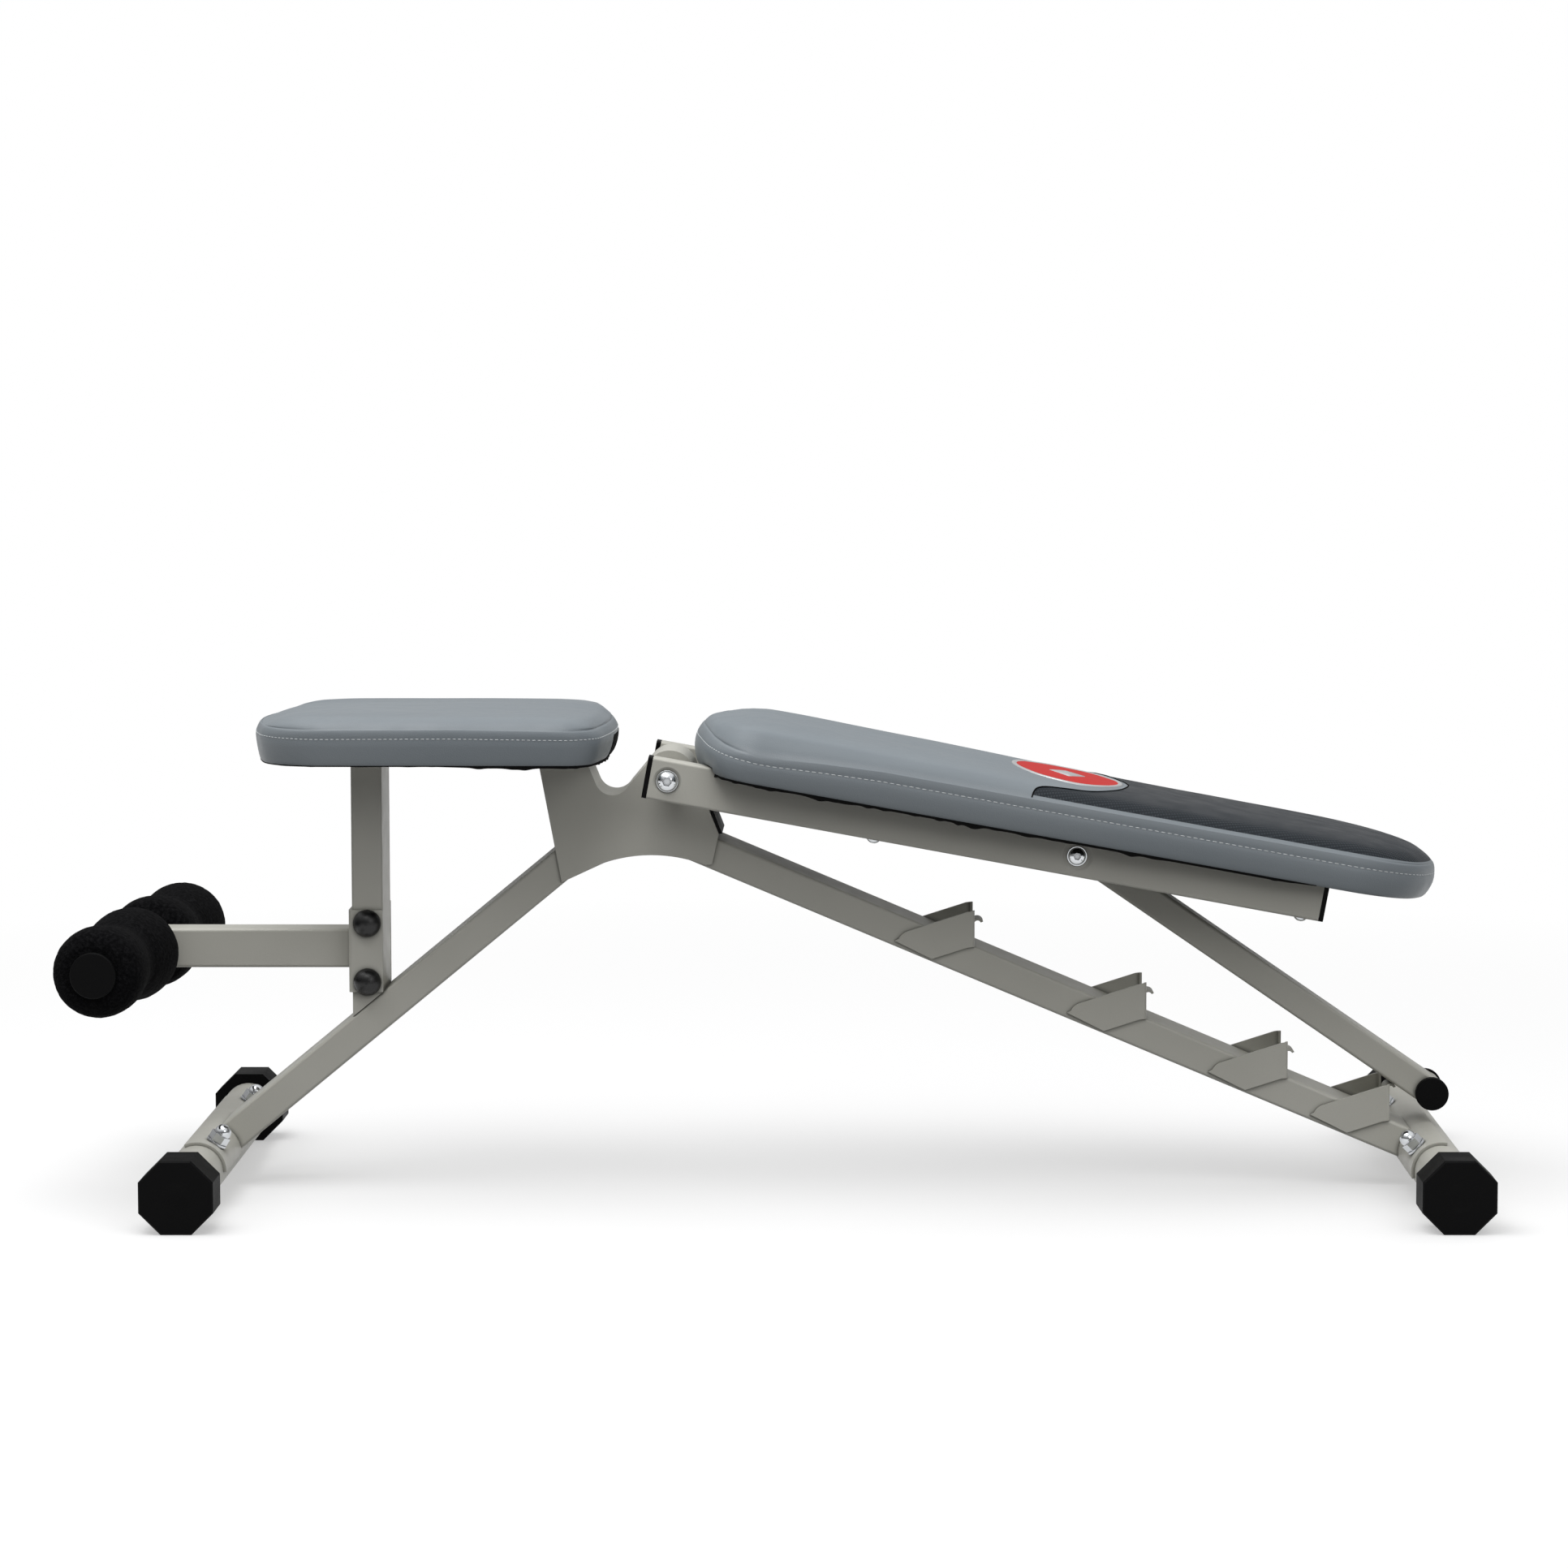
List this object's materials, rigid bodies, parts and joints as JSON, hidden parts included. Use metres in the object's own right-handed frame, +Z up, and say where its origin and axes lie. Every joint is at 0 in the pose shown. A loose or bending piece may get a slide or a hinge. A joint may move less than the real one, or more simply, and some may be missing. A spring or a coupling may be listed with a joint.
{
  "type": "decline sit-up bench",
  "caption": "Decline sit-up bench with a fixed seat, an adjustable backrest on a propping strut and ladder catches, and foam leg rollers on a forward arm.",
  "frame": {"origin": "on the floor, at the bottom centre of the bounding box", "axes": "+Z up, +X from the leg rollers towards the head of the backrest, and the bench is symmetric about XZ apart from the bolt heads and the slight skew of the roller bar"},
  "size_m": [1.3401, 0.566, 0.465],
  "materials": {
    "frame_paint": "satin powder coat, warm light grey",
    "chrome": "bright plated fasteners",
    "black_plastic": "moulded, lightly textured",
    "black_foam": "closed-cell foam, granular",
    "vinyl": "blue-grey grained vinyl with pale stitching",
    "plywood": "bare plywood",
    "dust_cloth": "thin black non-woven cloth",
    "badge_plastic": "glossy red oval with a silver rim"
  },
  "bodies": {
    "frame": {"front_leg": "frame_paint", "saddle_plate_near": "frame_paint", "saddle_plate_far": "frame_paint", "saddle_web": "frame_paint", "saddle_end_cap": "black_plastic", "pivot_sleeve": "frame_paint", "seat_post": "frame_paint", "seat_mount_front": "frame_paint", "seat_mount_rear": "frame_paint", "roller_arm_bracket": "frame_paint", "roller_arm": "frame_paint", "roller_arm_plug": "black_plastic", "roller_arm_bolts": "chrome", "roller_arm_nuts": "chrome", "roller_arm_bolt_covers": "black_plastic", "roller_bar": "frame_paint", "roller_bar_plugs": "black_plastic", "ladder_tube": "frame_paint", "catch_1": "frame_paint", "catch_2": "frame_paint", "catch_3": "frame_paint", "catch_4": "frame_paint", "front_foot_clamp": "frame_paint", "rear_foot_clamp": "frame_paint", "front_foot_tube": "frame_paint", "rear_foot_tube": "frame_paint", "front_foot_cap_near": "black_plastic", "front_foot_cap_far": "black_plastic", "rear_foot_cap_near": "black_plastic", "rear_foot_cap_far": "black_plastic", "foot_bolts": "chrome", "foot_washers": "chrome", "foot_acorn_nuts": "chrome", "seat_board": "plywood", "seat_pad": "vinyl", "seat_dust_cloth": "dust_cloth", "seat_screws": "chrome"},
    "backrest": {"back_rail_near": "frame_paint", "back_rail_far": "frame_paint", "back_rail_plugs": "black_plastic", "back_board": "plywood", "back_pad": "vinyl", "back_dust_cloth": "dust_cloth", "back_badge": "badge_plastic", "back_pad_bolts": "chrome", "backrest_pivot_bolt": "chrome", "backrest_pivot_nut": "chrome", "backrest_pivot_washers": "chrome", "strut_pivot_bolt": "chrome", "strut_pivot_nut": "chrome", "strut_pivot_washers": "chrome"},
    "strut": {"strut_tube": "frame_paint", "strut_sleeve": "frame_paint", "strut_crossbar": "frame_paint", "strut_bar_caps": "black_plastic"},
    "foam_roller_near": {"foam_roller_near": "black_foam"},
    "foam_roller_far": {"foam_roller_far": "black_foam"}
  },
  "joints": [
    {"name": "backrest_tilt", "type": "hinge", "parent": "frame", "child": "backrest", "pos_m": [-0.09924, 0, 0.4028], "axis": [0, -1, 0], "range_deg": [0, 60]},
    {"name": "strut_swing", "type": "hinge", "parent": "backrest", "child": "strut", "pos_m": [0.29074, 0, 0.33122], "axis": [0, 1, 0], "range_deg": [0, 109]},
    {"name": "foam_spin_near", "type": "hinge", "parent": "frame", "child": "foam_roller_near", "pos_m": [-0.61624, 0, 0.2305], "axis": [0.068, 0.9977, 0], "continuous": true},
    {"name": "foam_spin_far", "type": "hinge", "parent": "frame", "child": "foam_roller_far", "pos_m": [-0.61624, 0, 0.2305], "axis": [0.068, 0.9977, 0], "continuous": true}
  ],
  "couplings": [
    {"joint": "strut_swing", "follows": "backrest_tilt", "ratio": 1.81}
  ]
}
